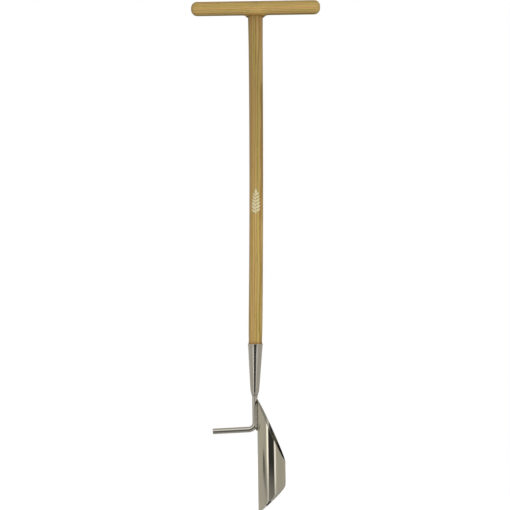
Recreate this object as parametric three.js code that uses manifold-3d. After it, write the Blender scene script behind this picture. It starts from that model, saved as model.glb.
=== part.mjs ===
// Long-handled hand weeder: an ash shaft with a T-grip, a conical steel socket, a neck rod
// bent into a foot peg, and a steel tube cut obliquely at both ends as the blade.
// Millimetres, +Z up. The origin is on the shaft's line, level with the blade's tip.
// The foot peg points to -X, the blade hangs on the +X side, and -Y is the front.
import * as THREE from 'three';
import { mergeVertices } from 'three/addons/utils/BufferGeometryUtils.js';
import Module from 'manifold-3d';

const GAP = 0.3;                        // clearance between pieces that touch

// T-grip
const GRIP_LENGTH = 291;
const GRIP_RADIUS = 15.7;
const GRIP_END_RADIUS = 13.8;            // rounding of the bar's ends
const GRIP_Z = 1131.3;                  // height of the bar's axis
const HUB_Z = 1111.3;                   // underside of the hub, where the shaft's shoulder sits
const HUB_RADIUS = 17.2;
const HUB_BLEND = 14;                   // how softly the hub runs out into the bar
const HUB_REACH = 36;                   // half length of the bar that the hub shapes
const HUB_STEP = 3;                     // spacing of the bar's rings beside the hub

// Shaft
const TENON_RADIUS = 11;
const SHAFT_BOW = 2.1;                  // sideways bow of the wood at mid-length
const SHAFT_OUTLINE = [                 // radius and height, from the socket up to the hub
  [14.95, 384], [15.65, 430], [15.5, 590], [15.6, 830], [15.95, 1030], [16.7, HUB_Z - GAP],
];
const SHAFT_END_Z = 296;                // lower end of the taper inside the socket
const SHAFT_END_CHAMFER = 1;

// Wedge in the tenon
const WEDGE_DEPTH = 24;
const WEDGE_TOP = 3;                    // thickness at the top
const WEDGE_TOE = 1;                    // thickness at the lower edge

// Socket
const RIM_Z = 377;
const RIM_EASE = 0.5;                   // chamfer that eases the rim's outer edge
const SOCKET_WALL = 1.8;
const SOCKET_OUTLINE = [                // outer radius and height, from the shoulder to the rim
  [10.4, 278], [11.5, 295], [13.7, 330], [15.95, 366], [17.05, RIM_Z],
];
const SHOULDER_Z = 262.5;               // lower end of the rounded shoulder
const SHOULDER_BULGE = [9.3, 269];      // radius and height at the middle of the shoulder
const SHOULDER_LIP = [1, 1.4];          // radius and height that the shoulder gains at its start
const FLOOR_Z = 272;                    // top of the solid floor that holds the rod

// Screw at the back of the socket
const SCREW_Z = 352;
const SCREW_SHANK = 1.8;
const SCREW_DEPTH = 13;
const SCREW_HEAD = 3.6;
const SCREW_HEAD_HEIGHT = 2;
const SCREW_HEAD_RIM = 0.4;             // straight part of the head's side
const SCREW_POINT = 3;                  // length of the screw's tip
const RECESS = [3.6, 0.9, 2.2];         // one arm of the cross recess: length, width, depth both ways
const SCREW_SEAT = 15.7;                // distance of the head's underside from the axis

// Neck rod and foot peg
const ROD_RADIUS = 6.25;
const SEAT_DEPTH = 1.7;                 // how deep the rod is hollowed out to seat the tube
const SEAT_END = 2;                     // the seat runs on this far above the tube
const ROD_TOP_Z = 276;
const BEND_RADIUS = 16;                 // of the rod's centreline
const PEG_Z = 184.2;                    // height where the peg's line meets the neck's line
const PEG_REACH = 96;                   // from the neck's line to the peg's end
const PEG_DROOP = THREE.MathUtils.degToRad(2.9);
const BEND_RISE = BEND_RADIUS * Math.tan((Math.PI / 2 - PEG_DROOP) / 2);
const HEAD_LEAN = THREE.MathUtils.degToRad(0.8);
const LEAN_Z = 267;                     // height about which the head leans

// Blade
const BLADE_RADIUS = 31.25;
const BLADE_WALL = 2;
const EDGE_RADIUS = BLADE_RADIUS - 1.5; // radius of the sharpened edge
const BEVEL_WIDTH = 4;                  // width of the ground band along the edge
const BLADE_X = BLADE_RADIUS + ROD_RADIUS - SEAT_DEPTH;
const TOP_SLOPE = -2.27;                // rise per unit of X along the upper cut
const TOP_Z = 252.8;                    // height of the upper cut beside the neck
const EDGE_SLOPE = 0.938;               // rise per unit of X along the lower cut
const TIP_X = BLADE_X - EDGE_RADIUS;
const TIP_Z = LEAN_Z - (LEAN_Z + TIP_X * Math.sin(HEAD_LEAN)) / Math.cos(HEAD_LEAN);

// Welds
const SOCKET_FILLET = [                 // of the weld under the socket: width and height
  [0, -5], [0.3, -3], [0.8, -0.6], [1, 0.9], [0, -0.5], [0, -5],
];
const BEAD_RADIUS = 3;
const BEAD_LOW_Z = 191;
const BEAD_HIGH_Z = 246;
const BEAD_RIPPLES = 11;
const RIPPLE_DEPTH = 0.08;              // share of the bead's radius
const BEAD_END = 6;                     // the bead tapers over this part of its length at each end
const TOE_RADIUS = 2.6;                 // bead under the bend
const TOE_STRETCH = 1.6;                // how much longer it is across the rod

// Facets
const ROUND = 36;                       // sides of the large round pieces
const FINE = 72;                        // sides of the blade
const SMALL = 20;                       // sides of rods and small pieces
const ARC = 6;                          // lengths that a rounded end or shoulder is divided into
const OUTLINE_STEPS = 8;                // lengths that the socket's outline is divided into
const SHAFT_STEPS = 14;                 // lengths that the shaft's outline is divided into
const SEARCH_STEPS = 30;                // halvings that find the hub's surface
const CUT_MARGIN = 30;                  // how far a cutting solid runs past what it cuts
const ROD_STEPS = 60;                   // lengths that the bent rod is divided into

const LOOKS = {
  ash: { color: 0xb2965a, roughness: 0.45, metalness: 0 },
  wedge_ash: { color: 0xa08450, roughness: 0.6, metalness: 0 },
  polished_steel: { color: 0xb9b6ad, roughness: 0.18, metalness: 1 },
  weld: { color: 0x9d998e, roughness: 0.4, metalness: 1 },
};

const wasm = await Module();
wasm.setup();

function toSolid(geometry) {
  const bare = geometry.clone();
  bare.deleteAttribute('normal');
  bare.deleteAttribute('uv');
  const merged = mergeVertices(bare, 1e-4);
  return new wasm.Manifold(new wasm.Mesh({
    numProp: 3,
    vertProperties: new Float32Array(merged.attributes.position.array),
    triVerts: new Uint32Array(merged.index.array),
  }));
}

function toGeometry(solid) {
  const mesh = solid.getMesh();
  const geometry = new THREE.BufferGeometry();
  geometry.setAttribute('position', new THREE.BufferAttribute(mesh.vertProperties, 3));
  geometry.setIndex(new THREE.BufferAttribute(mesh.triVerts, 1));
  geometry.computeVertexNormals();
  return geometry;
}

function piece(name, geometry, look) {
  const mesh = new THREE.Mesh(geometry, new THREE.MeshStandardMaterial(LOOKS[look]));
  mesh.name = name;
  return mesh;
}

// Turns a profile of [radius, height] points about the Z axis
function turned(profile, sides) {
  const points = profile.map(([radius, z]) => new THREE.Vector2(radius, z));
  return new THREE.LatheGeometry(points, sides).rotateX(Math.PI / 2);
}

// Points of a smooth outline through a few [radius, height] pairs
function smoothOutline(pairs, steps) {
  const curve = new THREE.SplineCurve(pairs.map(([radius, z]) => new THREE.Vector2(radius, z)));
  return curve.getPoints(steps).map((point) => [point.x, point.y]);
}

function cylinder(radius, low, high, sides) {
  return turned([[0, low], [radius, low], [radius, high], [0, high]], sides);
}

function moveVertices(geometry, move) {
  const position = geometry.attributes.position;
  const point = new THREE.Vector3();
  for (let i = 0; i < position.count; i += 1) {
    point.fromBufferAttribute(position, i);
    move(point);
    position.setXYZ(i, point.x, point.y, point.z);
  }
  geometry.computeVertexNormals();
  return geometry;
}

// Sideways place of the wood's centre: a shallow bow, carried on straight through the socket
function bowAt(z) {
  const along = Math.min((z - RIM_Z) / (HUB_Z - RIM_Z), 1);
  const curve = along > 0 ? along * (1 - along) : along;
  return 4 * SHAFT_BOW * curve;
}

function bowed(geometry) {
  return moveVertices(geometry, (point) => {
    point.x += bowAt(point.z);
  });
}

// Signed distances from the bar and from the hub below its axis, blended into one soft shape
function gripField(x, across, height) {
  const bar = Math.hypot(across, height) - GRIP_RADIUS;
  const halfHub = (GRIP_Z - HUB_Z) / 2;
  const sideways = Math.hypot(x, across) - HUB_RADIUS;
  const endways = Math.abs(height + halfHub) - halfHub;
  const corner = Math.hypot(Math.max(sideways, 0), Math.max(endways, 0));
  const hub = corner + Math.min(Math.max(sideways, endways), 0);
  const share = Math.max(HUB_BLEND - Math.abs(bar - hub), 0) / HUB_BLEND;
  return Math.min(bar, hub) - share * share * HUB_BLEND / 4;
}

// Radius of the grip along one ray from the bar's axis
function hubRadius(x, direction) {
  let inner = GRIP_RADIUS;
  let outer = GRIP_RADIUS + 2 * HUB_BLEND;
  for (let step = 0; step < SEARCH_STEPS; step += 1) {
    const middle = (inner + outer) / 2;
    const across = middle * Math.sin(direction);
    const height = middle * Math.cos(direction);
    if (gripField(x, across, height) < 0) {
      inner = middle;
    } else {
      outer = middle;
    }
  }
  return inner;
}

function barGeometry() {
  const profile = [[0, -GRIP_LENGTH / 2]];
  const endCentre = GRIP_LENGTH / 2 - GRIP_END_RADIUS;
  const flat = GRIP_RADIUS - GRIP_END_RADIUS;
  for (let step = 0; step <= ARC; step += 1) {
    const angle = step / ARC * Math.PI / 2;
    const radius = flat + GRIP_END_RADIUS * Math.sin(angle);
    profile.push([radius, -endCentre - GRIP_END_RADIUS * Math.cos(angle)]);
  }
  for (let x = -HUB_REACH; x <= HUB_REACH; x += HUB_STEP) {
    profile.push([GRIP_RADIUS, x]);
  }
  for (let step = ARC; step >= 0; step -= 1) {
    const [radius, x] = profile[step + 1];
    profile.push([radius, -x]);
  }
  profile.push([0, GRIP_LENGTH / 2]);
  return turned(profile, ROUND).rotateY(Math.PI / 2);
}

function makeGrip() {
  const bar = moveVertices(barGeometry(), (point) => {
    if (Math.abs(point.x) <= HUB_REACH) {
      const direction = Math.atan2(point.y, point.z);
      const radius = hubRadius(point.x, direction);
      point.y = radius * Math.sin(direction);
      point.z = Math.max(radius * Math.cos(direction), HUB_Z - GRIP_Z);
    }
  });
  const bore = cylinder(TENON_RADIUS + GAP, HUB_Z - CUT_MARGIN, GRIP_Z + CUT_MARGIN, ROUND);
  const grip = toSolid(bar.translate(0, 0, GRIP_Z)).subtract(toSolid(bore));
  return piece('grip', toGeometry(grip), 'ash');
}

// Everything inside the bar's round surface, for trimming the tenon and wedge flush
function barTrim() {
  const bar = cylinder(GRIP_RADIUS, -CUT_MARGIN, CUT_MARGIN, 2 * ROUND).rotateY(Math.PI / 2);
  return toSolid(bar.translate(0, 0, GRIP_Z));
}

function wedgeSolid(grow) {
  const top = GRIP_Z + GRIP_RADIUS + 1;
  const low = top - WEDGE_DEPTH - grow;
  const outline = new THREE.Shape([
    new THREE.Vector2(-WEDGE_TOE / 2 - grow, low),
    new THREE.Vector2(WEDGE_TOE / 2 + grow, low),
    new THREE.Vector2(WEDGE_TOP / 2 + grow, top),
    new THREE.Vector2(-WEDGE_TOP / 2 - grow, top),
  ]);
  const depth = 2 * (TENON_RADIUS - 1 + 4 * grow);
  const block = new THREE.ExtrudeGeometry(outline, { depth, bevelEnabled: false });
  return toSolid(block.translate(0, 0, -depth / 2).rotateX(Math.PI / 2));
}

function makeWedge() {
  return piece('tenon_wedge', toGeometry(wedgeSolid(0).intersect(barTrim())), 'wedge_ash');
}

function socketOutline() {
  return smoothOutline(SOCKET_OUTLINE, OUTLINE_STEPS);
}

function makeShaft() {
  const taper = socketOutline()
    .filter(([, z]) => z > SHAFT_END_Z)
    .map(([radius, z]) => [radius - SOCKET_WALL - GAP, z]);
  const profile = [
    [0, SHAFT_END_Z],
    [taper[0][0] - SHAFT_END_CHAMFER, SHAFT_END_Z],
    ...taper,
    ...smoothOutline(SHAFT_OUTLINE, SHAFT_STEPS),
    [TENON_RADIUS, HUB_Z - GAP],
    [TENON_RADIUS, HUB_Z + 2],
    [0, HUB_Z + 2],
  ];
  const body = toSolid(bowed(turned(profile, ROUND)));
  const tenon = toSolid(cylinder(TENON_RADIUS, HUB_Z, GRIP_Z + CUT_MARGIN, ROUND)).intersect(
    barTrim().add(toSolid(cylinder(TENON_RADIUS + 1, HUB_Z - 1, GRIP_Z, ROUND))));
  const shaft = body.add(tenon).subtract(wedgeSolid(GAP)).subtract(screwHole());
  return piece('shaft', toGeometry(shaft), 'ash');
}

function makeSocket() {
  const outline = socketOutline();
  const hole = ROD_RADIUS + GAP + 0.1;  // the lean of the rod needs a little more room
  const lip = [hole + SHOULDER_LIP[0], SHOULDER_Z + SHOULDER_LIP[1]];
  const shoulder = smoothOutline([lip, SHOULDER_BULGE, outline[0]], ARC);
  const inner = outline.map(([radius, z]) => [radius - SOCKET_WALL, z]).reverse();
  const rim = outline[outline.length - 1][0];
  const profile = [
    [hole, SHOULDER_Z],
    ...shoulder.slice(0, -1),
    ...outline.slice(0, -1),
    [rim, RIM_Z - RIM_EASE],
    [rim - RIM_EASE, RIM_Z],
    ...inner,
    [hole, FLOOR_Z],
    [hole, SHOULDER_Z],
  ];
  const shell = toSolid(bowed(turned(profile, ROUND)));
  return piece('socket', toGeometry(shell.subtract(screwHole())), 'polished_steel');
}

// A round piece lying along +Y at the screw's place
function alongScrew(geometry) {
  return geometry.rotateX(-Math.PI / 2).translate(bowAt(SCREW_Z), 0, SCREW_Z);
}

function screwHole() {
  const low = SCREW_SEAT - SCREW_DEPTH - GAP;
  const hole = cylinder(SCREW_SHANK + GAP, low, SCREW_SEAT + CUT_MARGIN, SMALL);
  return toSolid(alongScrew(hole));
}

function makeScrew() {
  const dome = [];
  for (let step = 0; step < ARC; step += 1) {
    const angle = step / ARC * Math.PI / 2;
    const rise = SCREW_HEAD_RIM + (SCREW_HEAD_HEIGHT - SCREW_HEAD_RIM) * Math.sin(angle);
    dome.push([SCREW_HEAD * Math.cos(angle), SCREW_SEAT + rise]);
  }
  const profile = [
    [0, SCREW_SEAT - SCREW_DEPTH],
    [SCREW_SHANK, SCREW_SEAT - SCREW_DEPTH + SCREW_POINT],
    [SCREW_SHANK, SCREW_SEAT],
    [SCREW_HEAD, SCREW_SEAT],
    ...dome,
    [0, SCREW_SEAT + SCREW_HEAD_HEIGHT],
  ];
  const slot = new THREE.BoxGeometry(...RECESS).translate(0, 0, SCREW_SEAT + SCREW_HEAD_HEIGHT);
  const cross = toSolid(alongScrew(slot.clone()))
    .add(toSolid(alongScrew(slot.clone().rotateZ(Math.PI / 2))));
  const screw = toSolid(alongScrew(turned(profile, SMALL))).subtract(cross);
  return piece('socket_screw', toGeometry(screw), 'polished_steel');
}

function makeSocketWeld() {
  const inside = ROD_RADIUS + GAP;
  const profile = SOCKET_FILLET.map(([width, height]) => [inside + width, SHOULDER_Z + height]);
  return piece('socket_weld', turned(profile, 2 * SMALL), 'weld');
}

function rodPath() {
  const along = new THREE.Vector3(-Math.cos(PEG_DROOP), 0, -Math.sin(PEG_DROOP));
  const corner = new THREE.Vector3(0, 0, PEG_Z);
  const bendTop = new THREE.Vector3(0, 0, PEG_Z + BEND_RISE);
  const bendEnd = corner.clone().addScaledVector(along, BEND_RISE);
  const end = corner.clone().addScaledVector(along, PEG_REACH);
  const path = new THREE.CurvePath();
  path.add(new THREE.LineCurve3(new THREE.Vector3(0, 0, ROD_TOP_Z), bendTop));
  path.add(new THREE.CubicBezierCurve3(bendTop, ...bendHandles(bendTop, bendEnd, corner), bendEnd));
  path.add(new THREE.LineCurve3(bendEnd, end));
  return path;
}

// Middle points that make a cubic curve follow the bend's arc
function bendHandles(start, finish, corner) {
  const turn = Math.PI / 2 - PEG_DROOP;
  const reach = 4 / 3 * Math.tan(turn / 4) / Math.tan(turn / 2);
  return [start.clone().lerp(corner, reach), finish.clone().lerp(corner, reach)];
}

function makeRod() {
  const section = new THREE.Shape().absarc(0, 0, ROD_RADIUS, 0, 2 * Math.PI);
  const geometry = new THREE.ExtrudeGeometry(section, {
    steps: ROD_STEPS,
    curveSegments: SMALL / 2,           // a full circle takes two of these for each side
    extrudePath: rodPath(),
  });
  const tube = cylinder(BLADE_RADIUS + GAP, BEAD_LOW_Z - CUT_MARGIN, TOP_Z + SEAT_END, FINE);
  const rod = toSolid(geometry).subtract(toSolid(tube.translate(BLADE_X, 0, 0)));
  return piece('neck_rod', toGeometry(rod), 'polished_steel');
}

// Heights of the two oblique cuts
function upperCut(x) {
  return TOP_Z + TOP_SLOPE * (x - BLADE_X + BLADE_RADIUS);
}

function lowerCut(x) {
  return TIP_Z + EDGE_SLOPE * (x - TIP_X);
}

// The ground band keeps its width across the edge, so it is taller where the edge is steep
function bevelHeight(y) {
  return BEVEL_WIDTH * Math.hypot(1, EDGE_SLOPE * y / BLADE_RADIUS);
}

function makeBlade() {
  const inside = BLADE_RADIUS - BLADE_WALL;
  const [edge, bevel, top] = [0, 1, 2];
  const profile = [
    [inside, edge],
    [EDGE_RADIUS, edge],
    [BLADE_RADIUS, bevel],
    [BLADE_RADIUS, top],
    [inside, top],
    [inside, edge],
  ];
  const geometry = moveVertices(turned(profile, FINE).translate(BLADE_X, 0, 0), (point) => {
    const level = Math.round(point.z);
    if (level === top) {
      point.z = upperCut(point.x);
    } else {
      point.z = lowerCut(point.x) + (level === bevel ? bevelHeight(point.y) : 0);
    }
  });
  return piece('blade', geometry, 'polished_steel');
}

// Place of a round bead that lies in the groove between the rod and the tube
function grooveCentre() {
  const toRod = ROD_RADIUS + BEAD_RADIUS + GAP;
  const toBlade = BLADE_RADIUS + BEAD_RADIUS + GAP;
  const x = (toRod ** 2 - toBlade ** 2 + BLADE_X ** 2) / (2 * BLADE_X);
  return [x, Math.sqrt(toRod ** 2 - x ** 2)];
}

function makeBead(name, side) {
  const steps = 3 * BEAD_RIPPLES;
  const profile = [[0, BEAD_LOW_Z]];
  for (let step = 1; step < steps; step += 1) {
    const along = step / steps;
    const ends = Math.sqrt(Math.min(1, BEAD_END * along, BEAD_END * (1 - along)));
    const ripple = 1 - RIPPLE_DEPTH * (1 - Math.cos(2 * Math.PI * along * BEAD_RIPPLES)) / 2;
    profile.push([BEAD_RADIUS * ends * ripple, BEAD_LOW_Z + along * (BEAD_HIGH_Z - BEAD_LOW_Z)]);
  }
  profile.push([0, BEAD_HIGH_Z]);
  const [x, y] = grooveCentre();
  return piece(name, turned(profile, SMALL / 2).translate(x, side * y, 0), 'weld');
}

// A round bead that touches the tube and the outside of the bend
function makeToeBead() {
  const x = BLADE_X - BLADE_RADIUS - TOE_RADIUS - GAP;
  const reach = BEND_RADIUS + ROD_RADIUS + TOE_RADIUS + GAP;
  const below = Math.sqrt(reach ** 2 - (BEND_RADIUS + x) ** 2);
  const bead = new THREE.SphereGeometry(TOE_RADIUS, SMALL / 2, SMALL / 2).scale(1, TOE_STRETCH, 1);
  return piece('blade_weld_toe', bead.translate(x, 0, PEG_Z + BEND_RISE - below), 'weld');
}

function makeHead() {
  const pieces = new THREE.Group();
  pieces.position.z = -LEAN_Z;
  pieces.add(makeSocketWeld(), makeRod(), makeBlade());
  pieces.add(makeBead('blade_weld_front', -1), makeBead('blade_weld_rear', 1), makeToeBead());
  const head = new THREE.Group();
  head.position.set(bowAt(LEAN_Z), 0, LEAN_Z);
  head.rotation.y = -HEAD_LEAN;
  head.add(pieces);
  return head;
}

const weeder = new THREE.Group();
weeder.add(makeGrip(), makeWedge(), makeShaft(), makeSocket(), makeScrew(), makeHead());

export default weeder;
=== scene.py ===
"""Looks of the long-handled hand weeder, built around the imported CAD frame.

Metres, +Z up, -Y is the front. Every fine mesh stands for one CAD node and keeps its place and size.
"""
import math

import bpy
import numpy as np
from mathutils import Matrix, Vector


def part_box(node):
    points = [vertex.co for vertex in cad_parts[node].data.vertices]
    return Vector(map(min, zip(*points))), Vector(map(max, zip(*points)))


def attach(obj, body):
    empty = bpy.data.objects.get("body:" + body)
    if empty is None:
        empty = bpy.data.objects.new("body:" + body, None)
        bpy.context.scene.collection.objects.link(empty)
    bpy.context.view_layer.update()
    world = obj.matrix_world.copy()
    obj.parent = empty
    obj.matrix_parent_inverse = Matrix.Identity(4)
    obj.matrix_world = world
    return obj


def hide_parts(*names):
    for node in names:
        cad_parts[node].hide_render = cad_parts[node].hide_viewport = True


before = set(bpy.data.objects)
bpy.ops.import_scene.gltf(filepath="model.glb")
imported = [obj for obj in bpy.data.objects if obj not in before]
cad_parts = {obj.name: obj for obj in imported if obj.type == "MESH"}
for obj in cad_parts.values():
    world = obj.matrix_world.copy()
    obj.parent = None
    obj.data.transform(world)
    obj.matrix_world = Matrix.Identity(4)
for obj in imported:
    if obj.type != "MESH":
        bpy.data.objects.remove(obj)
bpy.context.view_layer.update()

MM = 0.001
FIT = 0.1 * MM  # gap between a piece and the one it sits in
CUT_PAST = 5 * MM  # cutters run this far past what they cut


def low(node):
    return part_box(node)[0]


def high(node):
    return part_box(node)[1]


# ---------------- driving dimensions

# T-grip
GRIP_RADIUS = 15.7 * MM
GRIP_END_RADIUS = 13.8 * MM  # rounding of the bar's ends
GRIP_HALF = high("grip").x
GRIP_Z = high("grip").z - GRIP_RADIUS
HUB_Z = low("grip").z
HUB_RADIUS = 17.2 * MM
HUB_BLEND = 14 * MM
HUB_REACH = 36 * MM

# Shaft: radius and height above the socket's rim
RIM_Z = high("socket").z
SHAFT_LOW = low("shaft").z
SHAFT_TOP = high("shaft").z
SHAFT_RISE = HUB_Z - RIM_Z
SHAFT_OUTLINE = [
    (14.95 * MM, 7 * MM),
    (15.65 * MM, 53 * MM),
    (15.5 * MM, 213 * MM),
    (15.6 * MM, 453 * MM),
    (15.95 * MM, 653 * MM),
    (16.7 * MM, SHAFT_RISE - FIT),
]
SHAFT_BOW = 2.1 * MM
TENON_RADIUS = 11 * MM
TENON_SHOULDER = 16.3 * MM  # outer radius of the step under the hub
MORTISE_RADIUS = TENON_RADIUS + 0.25 * MM
WEDGE_TOP = 3 * MM  # thickness at the top and at the lower end
WEDGE_TOE = 1 * MM
WEDGE_SINK = 0.2 * MM  # the wedge's end lies this far under the bar's crown

# Socket: radius and height from the rim
SOCKET_WALL = 1.8 * MM
SOCKET_OUTLINE = [
    (10.4 * MM, -99 * MM),
    (11.5 * MM, -82 * MM),
    (13.7 * MM, -47 * MM),
    (15.95 * MM, -11 * MM),
    (17.05 * MM, 0),
]
SHOULDER_Z = low("socket").z
SHOULDER_BULGE = (9.3 * MM, 6.5 * MM)  # radius and height above the shoulder's foot
SOCKET_FLOOR_Z = SHOULDER_Z + 9.5 * MM
RIM_ROUNDING = 0.5 * MM  # outside and inside of the rim
LIP_ROUNDING = 0.4 * MM

# Screw
SCREW_Z = (low("socket_screw").z + high("socket_screw").z) / 2
SCREW_TOP = high("socket_screw").y
SCREW_HEAD = (high("socket_screw").z - low("socket_screw").z) / 2
SCREW_HEAD_HEIGHT = 2 * MM
SCREW_RIM = 0.5 * MM  # height of the head's straight rim
SCREW_EDGE = 0.25 * MM  # rounding under it
SCREW_SHANK = 1.8 * MM
SCREW_STRAIGHT = 8 * MM  # the shank's straight part and its whole length
SCREW_REACH = 11 * MM
RECESS_ARM = (1.9 * MM, 0.45 * MM)  # half length and half width of the cross's arms
RECESS_DEPTH = 1.3 * MM
RECESS_DRAFT = 0.55  # size of its bottom to its top

# Neck rod and foot peg, in the head's own upright frame; the head leans about a point at LEAN_Z
ROD_RADIUS = 6.25 * MM
ROD_CHAMFER = 0.7 * MM
SEAT_DEPTH = 1.7 * MM  # how far the tube sits into the rod's side
SEAT_END = 2 * MM  # the seat's cutter runs this far past the tube's tip
BEND_RADIUS = 16 * MM
PEG_Z = 184.2 * MM
SEAT_START_Z = PEG_Z - 20 * MM
PEG_REACH = 96 * MM
PEG_DROOP = math.radians(2.9)
BEND_RISE = BEND_RADIUS * math.tan((math.pi / 2 - PEG_DROOP) / 2)
ROD_TOP_Z = 276 * MM
HEAD_LEAN = math.radians(0.8)
LEAN_Z = 267 * MM

# Blade
BLADE_RADIUS = 31.25 * MM
BLADE_WALL = 2 * MM
EDGE_RADIUS = BLADE_RADIUS - 1.5 * MM
BEVEL_WIDTH = 4 * MM
EDGE_EASE = 0.25 * MM  # how far the cut edges are eased
WAVE_ROOM = 0.08 * MM  # the wavy wall keeps this far inside the true round
BLADE_X = BLADE_RADIUS + ROD_RADIUS - SEAT_DEPTH
TOP_SLOPE = -2.27
TOP_Z = 252.8 * MM
EDGE_SLOPE = 0.938
TIP_X = BLADE_X - EDGE_RADIUS
TIP_Z = LEAN_Z - (LEAN_Z + TIP_X * math.sin(HEAD_LEAN)) / math.cos(HEAD_LEAN)  # leaned, it lies at 0

# Fillet round the rod: [out from the rod, up from the shoulder] in millimetres
COLLAR_SECTION = [(-0.4, 1.6), (1.25, 1.5), (1.35, 0.7), (0.95, -0.9), (0.45, -2.6), (0.05, -4.2),
                  (-0.4, -4.6)]
COLLAR_RIPPLES = 22
COLLAR_SWELL = 0.16  # height of its ripples, in millimetres

# Beads in the groove between the rod and the tube: [across, out from the middle] in millimetres
BEAD_FACE = [(-1.9, 5.75), (-0.9, 6.45), (0.8, 7.05), (2.6, 7.5), (4.2, 7.6), (5.1, 7.25), (5.7, 6.5)]
BEAD_ROOT = [(6.0, 5.0), (4.6, 3.4), (1.2, 4.6)]
BEAD_MIDDLE = (2.4, 5.9)
BEAD_LOW_Z = 189.5 * MM
BEAD_HIGH_Z = 249.5 * MM
BEAD_SLANT = 1.67  # the upper end falls this much for each mm towards the rod
BEAD_RIPPLES = 18
BEAD_SWELL = 0.7  # height of its ripples and lag of their sides, in millimetres
BEAD_LAG = 1.5
BEAD_HALF = 3.6  # half its width, in millimetres
BEAD_SHADE_FROM = 0.895  # share of its length from which the upper end is darkened with painted shade

# Bead under the bend: middle, half sizes in millimetres, ripples
TOE_X = 3.2 * MM
TOE_Z = 185.2 * MM
TOE_SIZE = (2.5, 6.2, 4.2)
TOE_RIPPLES = 9


# ---------------- mesh helpers

def catmull_rom(points, steps):
    """Points of a smooth line through a few points, evenly spread over its stretches."""
    knots = np.array(points, float)
    knots = np.vstack([knots[0], knots, knots[-1]])
    place = np.linspace(0, len(points) - 1, steps)
    first = np.minimum(place.astype(int), len(points) - 2)
    t = (place - first)[:, None]
    p0, p1, p2, p3 = (knots[first + i] for i in range(4))
    slope_in, slope_out = (p2 - p0) / 2, (p3 - p1) / 2
    return ((2 * t**3 - 3 * t**2 + 1) * p1 + (t**3 - 2 * t**2 + t) * slope_in
            + (3 * t**2 - 2 * t**3) * p2 + (t**3 - t**2) * slope_out)


def turn(count):
    """Angles once round, without the last one that meets the first."""
    return np.linspace(0, 2 * math.pi, count, endpoint=False)


def xyz(x, y, z):
    """Points from three arrays or numbers."""
    return np.stack(np.broadcast_arrays(x, y, z), -1)


def arc(centre, radius, start, end, steps):
    """Points [across, along] of an arc, with its angles in degrees."""
    angles = np.radians(np.linspace(start, end, steps))
    return [(centre[0] + radius * math.cos(a), centre[1] + radius * math.sin(a)) for a in angles]


def add_object(name, data):
    added = bpy.data.objects.new(name, data)
    bpy.context.scene.collection.objects.link(added)
    return added


def shade_smooth(mesh, smooth_below):
    """Smooth faces with sharp edges where they meet at more than an angle in degrees."""
    mesh.polygons.foreach_set("use_smooth", [True] * len(mesh.polygons))
    mesh.set_sharp_from_angle(angle=math.radians(smooth_below))


def add_mesh(name, vertices, faces, materials, smooth_below=30, face_materials=None):
    mesh = bpy.data.meshes.new(name)
    mesh.from_pydata([tuple(v) for v in vertices], [], faces)
    for material in materials:
        mesh.materials.append(material)
    mesh.update()
    mesh.validate()
    if face_materials is not None:
        mesh.polygons.foreach_set("material_index", face_materials)
    shade_smooth(mesh, smooth_below)
    return add_object(name, mesh)


def ring_faces(rows, columns, closed_rows=False):
    """Quads between rings of vertices; each ring closes on itself."""
    faces = []
    last = rows if closed_rows else rows - 1
    for i in range(last):
        a, b = i * columns, (i + 1) % rows * columns
        for j in range(columns):
            k = (j + 1) % columns
            faces.append((a + j, a + k, b + k, b + j))
    return faces


def loft(name, rings, materials, closed_rows=False, row_materials=None, **options):
    """A closed skin over rings of points, shaped (row, column, xyz). Open ends get a fan.

    Closed rows may have a material index each.
    """
    rows, columns, _ = rings.shape
    vertices = list(rings.reshape(-1, 3))
    faces = ring_faces(rows, columns, closed_rows)
    indices = row_materials and [row_materials[i // columns] for i in range(len(faces))]
    if not closed_rows:
        for row, turned in ((0, True), (rows - 1, False)):
            centre = len(vertices)
            vertices.append(rings[row].mean(0))
            for j in range(columns):
                pair = (row * columns + j, row * columns + (j + 1) % columns)
                faces.append((pair[1], pair[0], centre) if turned else (pair[0], pair[1], centre))
    return add_mesh(name, vertices, faces, materials, face_materials=indices, **options)


def lathe_rings(profile, columns):
    """Rings about the Z axis from [radius, height] pairs."""
    profile = np.array(profile, float)
    radius, height = profile[:, 0:1], profile[:, 1:2]
    angles = turn(columns)
    return xyz(radius * np.cos(angles), radius * np.sin(angles), height)


def apply_modifiers(piece):
    depsgraph = bpy.context.evaluated_depsgraph_get()
    mesh = bpy.data.meshes.new_from_object(piece.evaluated_get(depsgraph))
    piece.modifiers.clear()
    piece.data = mesh


def cut(piece, cutter, smooth_below=30):
    """Takes the cutter's volume out of the piece and deletes the cutter."""
    modifier = piece.modifiers.new("cut", "BOOLEAN")
    modifier.operation = "DIFFERENCE"
    modifier.solver = "EXACT"
    modifier.object = cutter
    apply_modifiers(piece)
    shade_smooth(piece.data, smooth_below)
    bpy.data.objects.remove(cutter)


def settle(piece, slot, *nodes):
    """Every piece rides on the one body and stands for CAD nodes, which are hidden. The slot is not used."""
    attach(piece, "root")
    if nodes:
        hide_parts(*nodes)


def set_attribute(piece, name, values):
    """A number for each vertex, which the material reads."""
    attribute = piece.data.attributes.new(name, "FLOAT", "POINT")
    attribute.data.foreach_set("value", np.asarray(values, np.float32))


def positions(piece):
    co = np.empty(len(piece.data.vertices) * 3)
    piece.data.vertices.foreach_get("co", co)
    return co.reshape(-1, 3)


# ---------------- design curves

def bow_at(z):
    """Sideways place of the wood's centre: a shallow bow, straight on through the socket."""
    along = np.minimum((np.asarray(z, float) - RIM_Z) / SHAFT_RISE, 1)
    return 4 * SHAFT_BOW * np.where(along > 0, along * (1 - along), along)


def bowed(rings):
    rings = rings.copy()
    rings[..., 0] += bow_at(rings[..., 2])
    return rings


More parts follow.
